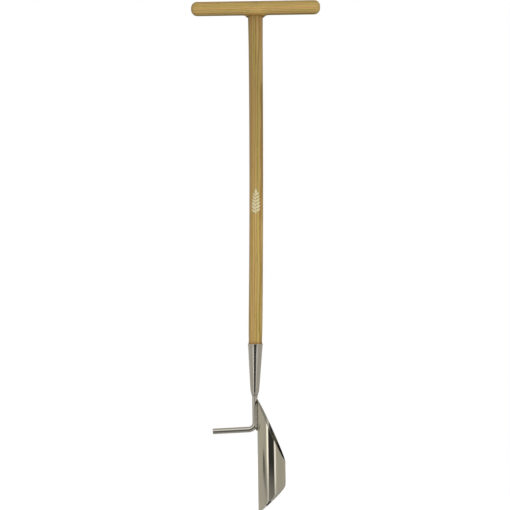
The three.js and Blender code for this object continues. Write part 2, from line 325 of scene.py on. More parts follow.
def leaned(points):
    """From the head's own upright frame to its place on the tool."""
    points = np.asarray(points, float)
    x, y, z = points[..., 0], points[..., 1], points[..., 2] - LEAN_Z
    cos, sin = math.cos(HEAD_LEAN), math.sin(HEAD_LEAN)
    return xyz(bow_at(LEAN_Z) + x * cos - z * sin, y, LEAN_Z + x * sin + z * cos)


def upper_cut(x):
    """Height of the tube's slanted upper end."""
    return TOP_Z + TOP_SLOPE * (x - BLADE_X + BLADE_RADIUS)


def lower_cut(x):
    """Height of the slanted cutting edge."""
    return TIP_Z + EDGE_SLOPE * (x - TIP_X)


# ---------------- shader helpers

class Tree:
    """A node tree with short ways to add nodes and join them."""

    def __init__(self, owner):
        owner.use_nodes = True
        self.tree = owner.node_tree
        self.tree.nodes.clear()

    def add(self, kind, inputs=None, **settings):
        node = self.tree.nodes.new("ShaderNode" + kind)
        for key, value in settings.items():
            setattr(node, key, value)
        for key, value in (inputs or {}).items():
            if isinstance(value, bpy.types.NodeSocket):
                self.tree.links.new(value, node.inputs[key])
            else:
                node.inputs[key].default_value = value
        return node

    def math(self, operation, *values, clamp=False):
        inputs = dict(enumerate(values))
        return self.add("Math", inputs, operation=operation, use_clamp=clamp).outputs[0]

    def times(self, first, *others):
        for other in others:
            first = self.math("MULTIPLY", first, other)
        return first

    def linear(self, value, factor, offset):
        return self.math("MULTIPLY_ADD", value, factor, offset)

    def vector(self, operation, *values):
        inputs = dict(enumerate(values))
        node = self.add("VectorMath", inputs, operation=operation)
        return node.outputs["Value" if operation == "LENGTH" else "Vector"]

    def scaled(self, vector, factor):
        return self.add("VectorMath", {"Vector": vector, "Scale": factor}, operation="SCALE").outputs[0]

    def smooth(self, value, start, end):
        """0 up to start, 1 from end on, smooth between."""
        node = self.add("MapRange", {0: value, 1: start, 2: end}, interpolation_type="SMOOTHSTEP")
        return node.outputs[0]

    def between(self, value, start, end, soft):
        """1 between start and end, with soft sides."""
        rise = self.smooth(value, start - soft / 2, start + soft / 2)
        fall = self.smooth(value, end - soft / 2, end + soft / 2)
        return self.math("SUBTRACT", rise, fall)

    def noise(self, vector, scale, detail=2.0, roughness=0.5, shift=(0, 0, 0)):
        """Noise with one scale, or with a scale for each axis and a shift."""
        if isinstance(scale, tuple):
            vector, scale = self.vector("MULTIPLY_ADD", vector, scale, shift), 1.0
        inputs = {"Vector": vector, "Scale": scale, "Detail": detail, "Roughness": roughness}
        return self.add("TexNoise", inputs).outputs[0]

    def mix(self, factor, first, second, blend="MIX"):
        node = self.add("Mix", {0: factor, 6: first, 7: second}, data_type="RGBA", blend_type=blend)
        return node.outputs[2]

    def mix_value(self, factor, first, second):
        return self.add("Mix", {0: factor, 2: first, 3: second}, data_type="FLOAT").outputs[0]

    def patch(self, across, upright, sides):
        """1 inside a rectangle of two values; each pair of sides is a start, an end and a softness."""
        return self.times(self.between(across, *sides[0]), self.between(upright, *sides[1]))

    def combine(self, x, y, z):
        return self.add("CombineXYZ", {0: x, 1: y, 2: z}).outputs[0]

    def separate(self, vector):
        return self.add("SeparateXYZ", {0: vector}).outputs

    def attribute(self, name):
        return self.add("Attribute", attribute_name=name, attribute_type="GEOMETRY").outputs["Fac"]

    def bump(self, height, distance, strength=1.0, normal=None):
        inputs = {"Height": height, "Distance": distance, "Strength": strength}
        if normal is not None:
            inputs["Normal"] = normal
        return self.add("Bump", inputs).outputs[0]

    def object_position(self):
        return self.add("TexCoord").outputs["Object"]


def colour(red, green, blue):
    return (red, green, blue, 1.0)


def new_material(name):
    material = bpy.data.materials.new(name)
    return material, Tree(material)


def finish_material(material, tree, shader_inputs):
    shader = tree.add("BsdfPrincipled", shader_inputs)
    tree.add("OutputMaterial", {"Surface": shader.outputs[0]})
    return material


# ---------------- wood

EARLY_WOOD = colour(0.47, 0.285, 0.080)
LATE_WOOD = colour(0.72, 0.505, 0.190)
PORE = colour(0.25, 0.130, 0.035)
OLIVE = colour(0.87, 0.93, 0.74)
PINK = colour(1.04, 0.93, 0.95)
STAIN_AND_SHADE_TINT = colour(0.45, 0.30, 0.17)  # wood darkened where it meets another piece: painted shade under the hub, dark joint lines round the tenon, darker wood just above the socket's rim
UPPER_TONE = 0.71  # tone of the shaft's upper end

# How finely each pattern varies, per millimetre: twice across the grain, once along it
DRIFT_SCALE = (0.02, 0.02, 0.0042)
WANDER_SCALE = (0.09, 0.09, 0.014)
PORE_SCALE = (1.5, 1.5, 0.055)
FIBRE_SCALE = (2.6, 2.6, 0.045)
STREAK_SCALE = (0.42, 0.42, 0.0055)
PATCH_SCALE = (0.17, 0.17, 0.0035)


def ash_material(name, along, pith, tilt, ring_width, seed, darkening_span=None):
    """Ash as a solid texture: growth rings round a far pith, porous early wood, fine fibres.

    Sizes are in millimetres. Between the two heights given for the darkening, the wood gets darker along its
    length.
    """
    material, tree = new_material(name)
    x, y, z = tree.separate(tree.scaled(tree.object_position(), 1 / MM))[:3]
    across, side, length = (x, y, z) if along == "Z" else (z, y, x)
    grain = tree.combine(across, side, length)

    drift = tree.math("SUBTRACT", tree.noise(grain, DRIFT_SCALE, 1.5, shift=(seed, 0, 0)), 0.5)
    wander = tree.math("SUBTRACT", tree.noise(grain, WANDER_SCALE, shift=(0, seed, 0)), 0.5)
    pith_across = tree.linear(length, tilt, pith[0])
    from_pith = [tree.math("SUBTRACT", across, pith_across), tree.math("SUBTRACT", side, pith[1])]
    distance = tree.vector("LENGTH", tree.combine(*from_pith, 0.0))
    distance = tree.linear(drift, 6.0, distance)
    distance = tree.linear(wander, 1.3, distance)
    ring = tree.math("DIVIDE", distance, ring_width)
    part = tree.math("FRACT", ring)
    number = tree.math("FLOOR", ring)
    random = tree.add("TexWhiteNoise", {"W": number}, noise_dimensions="1D").outputs["Value"]

    early = tree.times(tree.math("SUBTRACT", 1.0, tree.smooth(part, 0.18, 0.62)),
                       tree.smooth(part, 0.0, 0.06), tree.linear(random, 0.55, 0.55))
    pores = tree.smooth(tree.noise(grain, PORE_SCALE), 0.56, 0.66)
    pores = tree.math("MULTIPLY", pores, tree.linear(early, 0.75, 0.10), clamp=True)
    fibre = tree.noise(grain, FIBRE_SCALE, 3.0, 0.6)
    streak = tree.noise(grain, STREAK_SCALE, 2.0, 0.55)
    patch = tree.noise(grain, PATCH_SCALE, 1.0, shift=(seed, seed, 0))

    wood = tree.mix(tree.times(early, 0.9), LATE_WOOD, EARLY_WOOD)
    wood = tree.mix(tree.times(pores, 0.8), wood, PORE)
    shade = tree.linear(fibre, 0.36, 0.82)
    shade = tree.times(shade, tree.linear(streak, 0.55, 0.725))
    if darkening_span:
        shade = tree.times(shade, tree.mix_value(tree.smooth(length, *darkening_span), 1.0, UPPER_TONE))
    wood = tree.mix(1.0, wood, tree.combine(shade, shade, shade), "MULTIPLY")
    wood = tree.mix(tree.smooth(patch, 0.42, 0.68), wood, OLIVE, "MULTIPLY")
    wood = tree.mix(tree.smooth(patch, 0.56, 0.30), wood, PINK, "MULTIPLY")
    # Darkened where pieces meet: dark joint lines round the tenon, painted shade under the hub, darker wood
    # above the socket's rim
    wood = tree.mix(tree.attribute("stain_and_shade"), wood, STAIN_AND_SHADE_TINT, "MULTIPLY")

    relief = tree.linear(pores, -1.0, tree.times(fibre, 0.35))
    relief = tree.linear(early, -0.25, relief)
    rough = tree.linear(pores, 0.25, tree.linear(fibre, 0.12, 0.36))
    return finish_material(material, tree, {
        "Base Color": wood,
        "Roughness": rough,
        "Specular IOR Level": 0.35,
        "Coat Weight": 0.08,
        "Coat Roughness": 0.3,
        "Normal": tree.bump(relief, 0.06 * MM, 0.6),
    })


def end_grain(name):
    """The wedge seen on its end: ash, a shade darker than the bar, with fine pores."""
    material, tree = new_material(name)
    place = tree.object_position()
    pores = tree.smooth(tree.noise(place, 1600.0, 2.0), 0.52, 0.66)
    bands = tree.noise(place, (900.0, 140.0, 60.0))
    base = tree.mix(bands, colour(0.34, 0.205, 0.070), colour(0.50, 0.330, 0.120))
    base = tree.mix(tree.times(pores, 0.6), base, colour(0.16, 0.085, 0.030))
    return finish_material(material, tree, {
        "Base Color": base,
        "Roughness": tree.linear(pores, 0.2, 0.5),
        "Normal": tree.bump(pores, -0.05 * MM, 0.5),
    })


def ink_material(name):
    """Pale printed ink, a little worn, with the wood's fibres showing through as relief."""
    material, tree = new_material(name)
    wear = tree.smooth(tree.noise(tree.object_position(), (2600.0, 2600.0, 90.0), 3.0), 0.50, 0.72)
    base = tree.mix(tree.times(wear, 0.55), colour(0.90, 0.84, 0.55), colour(0.70, 0.58, 0.30))
    return finish_material(material, tree, {
        "Base Color": base,
        "Roughness": tree.linear(wear, 0.2, 0.5),
        "Normal": tree.bump(wear, -0.03 * MM, 0.5),
    })


# ---------------- steel

STEEL = colour(0.615, 0.59, 0.545)
TUBE_STEEL = colour(0.62, 0.585, 0.50)
SOCKET_STEEL = colour(0.60, 0.575, 0.53)
SCREW_STEEL = colour(0.58, 0.57, 0.55)
STRAW = colour(0.50, 0.37, 0.20)
# dark oxide at the welds, also used for painted shade in the creases beside the beads
OXIDE_AND_SHADE = colour(0.09, 0.078, 0.07)


def polished_material(name, roughness=0.07, tint=STEEL):
    """Polished stainless steel: faint haze, soft waves, straw tint beside the welds, dark oxide and painted
    shade in the creases beside the beads.
    """
    material, tree = new_material(name)
    place = tree.object_position()
    heat = tree.attribute("heat")
    haze = tree.noise(place, 60.0, 3.0, 0.6)
    waves = tree.noise(place, (38.0, 38.0, 14.0), 1.0)
    lines = tree.noise(place, (300.0, 300.0, 5200.0))
    marks = tree.smooth(tree.noise(place, 420.0, 4.0, 0.7), 0.60, 0.78)
    base = tree.mix(tree.smooth(heat, 0.05, 0.75), tint, STRAW)
    # Dark where the mask is high: oxide at the welds, and painted shade in the creases beside the beads
    base = tree.mix(tree.times(tree.smooth(heat, 0.62, 0.95), 0.95), base, OXIDE_AND_SHADE)
    rough = tree.linear(haze, 0.05, roughness - 0.025)
    rough = tree.linear(marks, 0.07, rough)
    rough = tree.linear(heat, 0.18, rough)
    relief = tree.bump(waves, 0.10 * MM, 0.5)
    relief = tree.bump(lines, 0.002 * MM, 0.35, relief)
    return finish_material(material, tree, {
        "Base Color": base,
        "Metallic": 1.0,
        "Roughness": rough,
        "Normal": relief,
    })


def ground_material(name):
    """Steel ground on a belt: fine lines round the tube, a little brighter on the ridges."""
    material, tree = new_material(name)
    lines = tree.noise(tree.object_position(), (60.0, 60.0, 2400.0), 3.0, 0.65)
    base = tree.mix(lines, colour(0.46, 0.445, 0.42), colour(0.66, 0.645, 0.61))
    return finish_material(material, tree, {
        "Base Color": base,
        "Metallic": 1.0,
        "Roughness": tree.linear(lines, 0.10, 0.08),
        "Normal": tree.bump(lines, 0.02 * MM, 0.4),
    })


def inner_material(name):
    """Inside of the tube: as drawn, duller than the outside, with a few long drag lines."""
    material, tree = new_material(name)
    place = tree.object_position()
    cloud = tree.noise(place, 45.0, 4.0, 0.6)
    drag = tree.noise(place, (900.0, 900.0, 12.0))
    base = tree.mix(cloud, colour(0.36, 0.34, 0.31), colour(0.50, 0.48, 0.44))
    return finish_material(material, tree, {
        "Base Color": base,
        "Metallic": 1.0,
        "Roughness": tree.linear(cloud, 0.16, 0.13),
        "Normal": tree.bump(drag, 0.015 * MM, 0.4),
    })


def weld_material(name):
    """Weld metal: brushed over, bright on the ripples, dark brown in the hollows, with painted shade along
    the groove beads' edges and upper ends.
    """
    material, tree = new_material(name)
    place = tree.object_position()
    hollow_and_shade = tree.attribute("hollow_and_shade")
    mottle = tree.noise(place, 700.0, 3.0, 0.6)
    base = tree.mix(mottle, colour(0.46, 0.43, 0.38), colour(0.62, 0.60, 0.555))
    base = tree.mix(tree.smooth(hollow_and_shade, 0.35, 1.0), base, colour(0.10, 0.078, 0.055))
    return finish_material(material, tree, {
        "Base Color": base,
        "Metallic": 1.0,
        "Roughness": tree.linear(mottle, 0.2, 0.14),
        "Normal": tree.bump(mottle, 0.06 * MM, 0.5),
    })


# ---------------- grip

WOOD_SIDES = 128
# Painted shade under the bar beside the hub: its height and its reach along the bar
HUB_SHADE_HEIGHT = 4.3 * MM
HUB_SHADE_REACH = 30 * MM
MORTISE_STAIN = 0.5 * MM


def grip_field(x, across, height):
    """Signed distances from the bar and from the hub below its axis, blended into one shape."""
    bar = np.hypot(across, height) - GRIP_RADIUS
    half_hub = (GRIP_Z - HUB_Z) / 2
    sideways = np.hypot(x, across) - HUB_RADIUS
    endways = np.abs(height + half_hub) - half_hub
    corner = np.hypot(np.maximum(sideways, 0), np.maximum(endways, 0))
    hub = corner + np.minimum(np.maximum(sideways, endways), 0)
    share = np.maximum(HUB_BLEND - np.abs(bar - hub), 0) / HUB_BLEND
    return np.minimum(bar, hub) - share * share * HUB_BLEND / 4


def hub_radius(x, direction):
    """Radius of the grip along rays from the bar's axis, found by halving."""
    inner = np.full(np.broadcast(x, direction).shape, GRIP_RADIUS)
    outer = inner + 2 * HUB_BLEND
    for _ in range(30):
        middle = (inner + outer) / 2
        inside = grip_field(x, middle * np.sin(direction), middle * np.cos(direction)) < 0
        inner = np.where(inside, middle, inner)
        outer = np.where(inside, outer, middle)
    return inner


def grip_stations():
    """Places and radii of the bar's rings: rounded ends, finer rings beside the hub."""
    end_centre = GRIP_HALF - GRIP_END_RADIUS
    flat = GRIP_RADIUS - GRIP_END_RADIUS
    angles = np.radians(np.linspace(3, 90, 16))
    ends = [(end_centre + GRIP_END_RADIUS * math.cos(a), flat + GRIP_END_RADIUS * math.sin(a))
            for a in angles]
    middle = np.concatenate([np.linspace(-end_centre, -HUB_REACH, 24)[1:-1],
                             np.linspace(-HUB_REACH, HUB_REACH, 97),
                             np.linspace(HUB_REACH, end_centre, 24)[1:-1]])
    left = [(-x, r) for x, r in ends]
    return left + [(x, GRIP_RADIUS) for x in middle] + ends[::-1]


def make_grip(material):
    """Bar with rounded ends, a hub under its middle and a mortise through both."""
    stations = np.array(grip_stations())
    direction = turn(WOOD_SIDES)
    x = np.repeat(stations[:, 0:1], WOOD_SIDES, 1)
    radius = np.repeat(stations[:, 1:2], WOOD_SIDES, 1)
    near = np.abs(stations[:, 0]) < HUB_REACH + FIT
    radius[near] = hub_radius(x[near], direction)
    across = radius * np.sin(direction)
    height = radius * np.cos(direction)
    height[near] = np.maximum(height[near], HUB_Z - GRIP_Z)
    grip = loft("grip_wood", xyz(x, across, GRIP_Z + height), [material], smooth_below=35)
    bore = lathe_rings([(MORTISE_RADIUS, HUB_Z - CUT_PAST), (MORTISE_RADIUS, SHAFT_TOP + CUT_PAST)], 96)
    cut(grip, loft("bore", bore, [material]), 35)
    x, y, z = positions(grip).T
    from_mortise = np.hypot(x, y) - TENON_RADIUS
    # Painted shade under the bar beside the hub; on top, a dark joint line round the tenon
    under = np.exp(-((z - HUB_Z) / HUB_SHADE_HEIGHT) ** 2 - (x / HUB_SHADE_REACH) ** 4)
    top = np.exp(-(np.maximum(from_mortise, 0) / MORTISE_STAIN) ** 2) * (z > GRIP_Z)
    set_attribute(grip, "stain_and_shade", np.clip(0.95 * under + 0.3 * top, 0, 1))
    settle(grip, "ash_grip", "grip")


# ---------------- shaft

RIM_DARKENING = 2.2 * MM  # how fast the wood's darkening fades above the rim
# how fast the painted shade on the shaft fades from the hub
HUB_SHADE_FADE = 14 * MM


def shaft_outline():
    return [(r, RIM_Z + h) for r, h in catmull_rom(SHAFT_OUTLINE, steps=150)]


def shaft_radius(z):
    outline = np.array(shaft_outline())
    return np.interp(z, outline[:, 1], outline[:, 0])


def make_shaft(material):
    """Taper in the socket with a rounded foot, bare wood, and a tenon whose end follows the bar's crown."""
    taper = [(r - SOCKET_WALL - FIT, z) for r, z in socket_outline(24) if z > SHAFT_LOW + 2 * MM]
    foot = taper[0][0]
    profile = [(foot - 2 * MM, SHAFT_LOW), (foot - 0.6 * MM, SHAFT_LOW + 1 * MM)]
    profile += taper + shaft_outline()
    profile += [(TENON_SHOULDER, HUB_Z), (TENON_RADIUS, HUB_Z), (TENON_RADIUS, GRIP_Z)]
    top = len(profile)
    profile += [(TENON_RADIUS * share, SHAFT_TOP) for share in np.linspace(1, 0.02, 12)]
    rings = bowed(lathe_rings(profile, WOOD_SIDES))
    across = rings[top:, :, 1]
    rings[top:, :, 2] = GRIP_Z + np.sqrt((GRIP_RADIUS - FIT) ** 2 - across**2)
    shaft = loft("shaft_wood", rings, [material], smooth_below=35)
    x, y, z = positions(shaft).T
    # Darker wood just above the socket's rim, painted shade under the hub, and a dark joint line round the
    # tenon's end
    rim = np.exp(-np.maximum(z - RIM_Z, 0) / RIM_DARKENING)
    hub = np.exp(-np.abs(z - HUB_Z) / HUB_SHADE_FADE)
    tenon = (z > GRIP_Z) * np.clip(np.hypot(x, y) / TENON_RADIUS, 0, 1) ** 8
    set_attribute(shaft, "stain_and_shade", np.clip(0.7 * rim + 0.5 * hub + 0.3 * tenon, 0, 1))
    settle(shaft, "ash_shaft", "shaft")


def make_wedge(material):
    """Wedge across the tenon: it tapers downwards and its top follows the bar's crown."""
    low_z, high_z = low("tenon_wedge").z, high("tenon_wedge").z
    reach = high("tenon_wedge").y
    crown = GRIP_RADIUS - WEDGE_SINK
    rings = []
    for share in np.linspace(0, 1, 25):
        half = (WEDGE_TOE + (WEDGE_TOP - WEDGE_TOE) * share) / 2
        across = np.linspace(-reach, reach, 33)
        top = np.minimum(high_z, GRIP_Z + np.sqrt(crown**2 - across**2))
        z = low_z + share * (top - low_z)
        rings.append(np.concatenate([xyz(half, across, z), xyz(-half, across, z)[::-1]]))
    wedge = loft("wedge", np.array(rings), [material], smooth_below=35)
    settle(wedge, "wedge_wood", "tenon_wedge")


# ---------------- printed sprig

SPRIG_LOW = RIM_Z + 291 * MM
SPRIG_HEIGHT = 57 * MM
SPRIG_REACH = 12.8 * MM
STEM_END = 9 * MM  # the stem ends this far under the sprig's top
STEM_WIDTHS = (1.9 * MM, 1.0 * MM)
LEAF_PAIRS = 6
LEAVES_START = 5 * MM
LEAVES_SPAN = 36 * MM
LEAF_WIDTH = 2.7 * MM
LEAF_ANGLES = (62, 48)  # of the lowest and the highest pair, in degrees from the stem
TIP_LENGTH = 13 * MM
TIP_WIDTH = 2.8 * MM
INK_THICKNESS = 0.07 * MM


def on_shaft(sideways, z, lift):
    """A point of the shaft's front, from its distance round the surface and its height."""
    radius = shaft_radius(z)
    angle = sideways / radius
    reach = radius + lift
    return xyz(bow_at(z) + reach * np.sin(angle), -reach * np.cos(angle), z)


def leaf_half(root, heading, length, width, side):
    """One half of a leaf: a strip from beside its midrib to its curved edge."""
    along = np.linspace(0, 1, 15)
    edge = side * width * np.sin(math.pi * along**0.85) ** 0.9
    inner = side * 0.16 * MM * np.ones_like(along)
    room = (edge - inner) * (np.abs(edge) > np.abs(inner))
    rows = [inner + room * share for share in (0, 0.33, 0.66, 1)]
    direction = np.array([math.sin(heading), math.cos(heading)])
    normal = np.array([direction[1], -direction[0]])
    curl = 0.10 * length * along**2
    points = []
    for row in rows:
        flat = np.outer(along * length, direction) + np.outer(row, normal)
        flat[:, 1] += curl * abs(math.sin(heading))
        points.append(root + flat)
    return np.array(points)


def stem_strip(start, end, start_width, end_width):
    along = np.linspace(0, 1, 15)[:, None]
    middle = np.array(start) * (1 - along) + np.array(end) * along
    half = (start_width * (1 - along) + end_width * along) / 2
    return np.array([middle + half * np.array([side, 0]) for side in (-1.0, -0.33, 0.33, 1.0)])


def strip_solid(strip):
    """A thin solid on the shaft from a strip of flat points, shaped (row, step, 2)."""
    rows, steps, _ = strip.shape
    top = on_shaft(strip[..., 0], strip[..., 1], INK_THICKNESS)
    bottom = on_shaft(strip[..., 0], strip[..., 1], -INK_THICKNESS)
    vertices = np.concatenate([top.reshape(-1, 3), bottom.reshape(-1, 3)])
    faces = []
    under = rows * steps
    for i in range(rows - 1):
        for j in range(steps - 1):
            a, b = i * steps + j, (i + 1) * steps + j
            faces.append((a, a + 1, b + 1, b))
            faces.append((under + a, under + b, under + b + 1, under + a + 1))
    border = list(range(steps)) + [i * steps + steps - 1 for i in range(1, rows)]
    border += [(rows - 1) * steps + j for j in range(steps - 2, -1, -1)]
    border += [i * steps for i in range(rows - 2, 0, -1)]
    for a, b in zip(border, border[1:] + border[:1]):
        faces.append((a, under + a, under + b, b))
    return vertices, faces


def make_sprig(material):
    """A plain leafy twig in pale ink on the front of the shaft."""
    strips = [stem_strip((0, SPRIG_LOW), (0, SPRIG_LOW + SPRIG_HEIGHT - STEM_END), *STEM_WIDTHS)]
    for pair in range(LEAF_PAIRS):
        share = pair / (LEAF_PAIRS - 1)
        z = SPRIG_LOW + LEAVES_START + LEAVES_SPAN * share
        size = 1 - 0.38 * abs(share - 0.25)  # the second pair is the largest
        angle = LEAF_ANGLES[0] + (LEAF_ANGLES[1] - LEAF_ANGLES[0]) * share
        for side in (-1, 1):
            root = np.array([0.4 * MM * side, z + 0.8 * MM * side])
            heading = side * math.radians(angle)
            for half in (-1, 1):
                strips.append(leaf_half(root, heading, SPRIG_REACH * size, LEAF_WIDTH * size, half))
    tip = np.array([0, SPRIG_LOW + SPRIG_HEIGHT - TIP_LENGTH])
    for half in (-1, 1):
        strips.append(leaf_half(tip, 0.0, TIP_LENGTH, TIP_WIDTH, half))
    vertices, faces = [], []
    for strip in strips:
        points, quads = strip_solid(strip)
        start = len(vertices)
        vertices.extend(points)
        faces.extend(tuple(start + i for i in quad) for quad in quads)
    sprig = add_mesh("printed_sprig", vertices, faces, [material])
    settle(sprig, "print_ink")


# ---------------- socket, screw, collar weld

SHOULDER_HEAT = 3.5 * MM  # how fast the heat tint fades up the socket


def socket_outline(steps):
    return [(r, RIM_Z + h) for r, h in catmull_rom(SOCKET_OUTLINE, steps)]


def make_socket(material, inside):
    """Conical shell with a rounded shoulder and rim, and a bore for the wood."""
    outline = socket_outline(60)
    hole = ROD_RADIUS + FIT
    bulge = (SHOULDER_BULGE[0], SHOULDER_Z + SHOULDER_BULGE[1])
    shoulder = catmull_rom([(hole, SHOULDER_Z + 0.2 * MM), (hole + 1.4 * MM, SHOULDER_Z + 1.8 * MM),
                            bulge, outline[0]], 24)
    rim = outline[-1][0]
    crown = arc((rim - RIM_ROUNDING, RIM_Z - RIM_ROUNDING), RIM_ROUNDING, 0, 90, 6)
    lip = arc((rim - SOCKET_WALL + LIP_ROUNDING, RIM_Z - LIP_ROUNDING), LIP_ROUNDING, 90, 180, 5)
    shell = list(shoulder[:-1]) + outline[:-1] + crown + lip
    bore = [(r - SOCKET_WALL, z) for r, z in outline[-2::-1]] + [(hole, SOCKET_FLOOR_Z)]
    rings = bowed(lathe_rings(shell + bore, 160))
    rows = [0] * len(shell) + [1] * len(bore)
    socket = loft("socket_shell", rings, [material, inside], closed_rows=True, row_materials=rows)
    z = positions(socket)[:, 2]
    set_attribute(socket, "heat", 0.8 * np.exp(-np.maximum(z - SHOULDER_Z, 0) / SHOULDER_HEAT))
    settle(socket, "polished_steel", "socket")


def along_screw(points):
    """From the screw's own upright frame to its place: it points out of the socket's back."""
    return xyz(points[..., 0] + bow_at(SCREW_Z), points[..., 2], SCREW_Z - points[..., 1])


def make_screw(material):
    """Plain shank and a domed head with a cross recess."""
    seat = SCREW_TOP - SCREW_HEAD_HEIGHT
    dome = SCREW_HEAD_HEIGHT - SCREW_RIM
    profile = [(0.05 * MM, seat - SCREW_REACH), (SCREW_SHANK, seat - SCREW_STRAIGHT), (SCREW_SHANK, seat)]
    profile += [(SCREW_HEAD - SCREW_EDGE, seat)]
    profile += arc((SCREW_HEAD - SCREW_EDGE, seat + SCREW_EDGE), SCREW_EDGE, -60, 0, 4)
    profile += [(SCREW_HEAD, seat + SCREW_RIM)]
    profile += [(SCREW_HEAD * math.cos(a), seat + SCREW_RIM + dome * math.sin(a))
                for a in np.radians(np.linspace(4, 88, 16))]
    screw = loft("socket_screw_head", along_screw(lathe_rings(profile, 64)), [material])
    for half in (RECESS_ARM, RECESS_ARM[::-1]):
        corners = np.array([(-1, -1), (1, -1), (1, 1), (-1, 1)]) * half
        ends = [(RECESS_DRAFT, SCREW_TOP - RECESS_DEPTH), (1.0, SCREW_TOP + 0.5 * MM)]
        block = np.array([[(share * x, share * y, z) for x, y in corners] for share, z in ends])
        cut(screw, loft("recess", along_screw(block), [material]))
    set_attribute(screw, "heat", np.zeros(len(screw.data.vertices)))
    settle(screw, "screw_steel", "socket_screw")


def ripples(along, count):
    """Overlapping dimes: each ripple rises quickly and runs out slowly. 0 in the valleys."""
    part = (along * count) % 1
    return np.sin(math.pi * part**0.6)


def make_collar_weld(material):
    """Fillet between the rod and the socket's shoulder."""
    around = turn(192)
    ripple = ripples(around / (2 * math.pi), COLLAR_RIPPLES)
    rows = []
    for width, height in catmull_rom(COLLAR_SECTION, 30):
        swell = np.clip(width, 0, 2) / 1.3 * COLLAR_SWELL
        radius = ROD_RADIUS + (width + swell * (ripple - 0.5)) * MM
        rows.append(xyz(radius * np.cos(around), radius * np.sin(around), SHOULDER_Z + height * MM))
    collar = loft("socket_bead", leaned(np.array(rows)), [material], closed_rows=True)
    set_attribute(collar, "hollow_and_shade", 0.75 * np.tile(1 - ripple, len(rows)))
    settle(collar, "weld_steel", "socket_weld")


# ---------------- rod

def rod_line():
    """Points and directions of the rod's centreline in the head's frame."""
    sweep = math.pi / 2 - PEG_DROOP
    centre = np.array([-BEND_RADIUS, PEG_Z + BEND_RISE])
    points = [(0, z) for z in np.linspace(ROD_TOP_Z, centre[1], 40)[:-1]]
    points += [(centre[0] + BEND_RADIUS * math.cos(a), centre[1] - BEND_RADIUS * math.sin(a))
               for a in np.linspace(0, sweep, 48)]
    start = np.array(points[-1])
    end = np.array([0, PEG_Z]) + PEG_REACH * np.array([-math.cos(PEG_DROOP), -math.sin(PEG_DROOP)])
    points += [tuple(start + (end - start) * t) for t in np.linspace(0, 1, 50)[1:]]
    points = np.array(points)
    heading = np.gradient(points, axis=0)
    heading /= np.linalg.norm(heading, axis=1)[:, None]
    return points, heading


def make_rod(material):
    """Bent round bar with a chamfered end, and a seat cut into its side for the tube."""
    points, heading = rod_line()
    end, last = points[-1], heading[-1]
    points = np.vstack([points[:-1], end - last * ROD_CHAMFER, end - last * ROD_CHAMFER * 0.35, end, end])
    heading = np.vstack([heading[:-1], last, last, last, last])
    radii = np.full(len(points), ROD_RADIUS)
    radii[-3:] -= np.array([0.3, 0.95, 3.5]) * ROD_CHAMFER
    around = turn(96)
    rows = []
    for (x, z), (dx, dz), radius in zip(points, heading, radii):
        out = radius * np.cos(around)
        rows.append(xyz(x - dz * out, radius * np.sin(around), z + dx * out))
    rod = loft("rod", leaned(np.array(rows)), [material])
    tube = lathe_rings([(BLADE_RADIUS, z) for z in (SEAT_START_Z, TOP_Z + SEAT_END)], 720)
    tube[..., 0] += BLADE_X
    cut(rod, loft("seat", leaned(tube), [material]))
    co = positions(rod)
    set_attribute(rod, "heat", np.maximum(0.65 * groove_heat(co), collar_heat(co)))
    settle(rod, "polished_steel", "neck_rod")


# ---------------- blade

GROOVE_SIDE = 7.2 * MM  # the beads' distance from the middle
GROOVE_HEAT = 5.2 * MM  # how far the tint reaches from them
# width of the painted shade line in the crease along the beads' edges
WELD_CREASE_SHADE_WIDTH = 1.9 * MM
# size of the painted shade patch beside the bead under the bend
TOE_SHADE_SIZE = (3.2 * MM, 8.5 * MM, 6.0 * MM)
COLLAR_HEAT_DROP = 3 * MM  # the tint's middle lies this far under the shoulder
COLLAR_HEAT = 3.2 * MM


def groove_heat(co):
    """Closeness to the beads between the rod and the tube, in the tool's frame."""
    start, end = leaned(np.array([[BEAD_MIDDLE[0] * MM, 0, z] for z in (BEAD_LOW_Z, BEAD_HIGH_Z)]))
    t = np.clip((co[:, 2] - start[2]) / (end[2] - start[2]), -0.05, 1.03)
    away = co * (1, 0, 1) - (start + t[:, None] * (end - start))
    away[:, 1] = np.abs(co[:, 1]) - GROOVE_SIDE
    return np.exp(-(np.linalg.norm(away, axis=1) / GROOVE_HEAT) ** 2)


def weld_crease_shade(co):
    """Painted shade: a thin dark line on the tube in the crease along the beads' edges, 1 on the line."""
    across, out = BEAD_FACE[-2]
    start, end = leaned(np.array([[across * MM, 0, z] for z in (BEAD_LOW_Z, BEAD_HIGH_Z)]))
    t = (co[:, 2] - start[2]) / (end[2] - start[2])
    distance = np.hypot(co[:, 0] - start[0] - t * (end[0] - start[0]), np.abs(co[:, 1]) - out * MM)
    return np.exp(-(distance / WELD_CREASE_SHADE_WIDTH) ** 2) * (t > -0.02) * (t < 1.0)


def toe_shade(co):
    """Painted shade: a dark patch on the tube beside the bead under the bend."""
    centre = leaned(np.array([BLADE_X - BLADE_RADIUS, 0, TOE_Z]))
    away = (co - centre) / TOE_SHADE_SIZE
    return np.exp(-(away ** 2).sum(1) ** 1.5)


def collar_heat(co):
    """Tint on the rod under the socket."""
    return 0.8 * np.exp(-((co[:, 2] - SHOULDER_Z + COLLAR_HEAT_DROP) / COLLAR_HEAT) ** 2)


def blade_wave(angle, height):
    """Slight out-of-round of the tube, so that reflections waver as they do on real tube."""
    wave = 0.045 * np.sin(2 * angle + 0.6) + 0.020 * np.sin(5 * angle + 26 * height)
    return (wave + 0.018 * np.sin(3 * angle - 41 * height + 1.1)) * MM


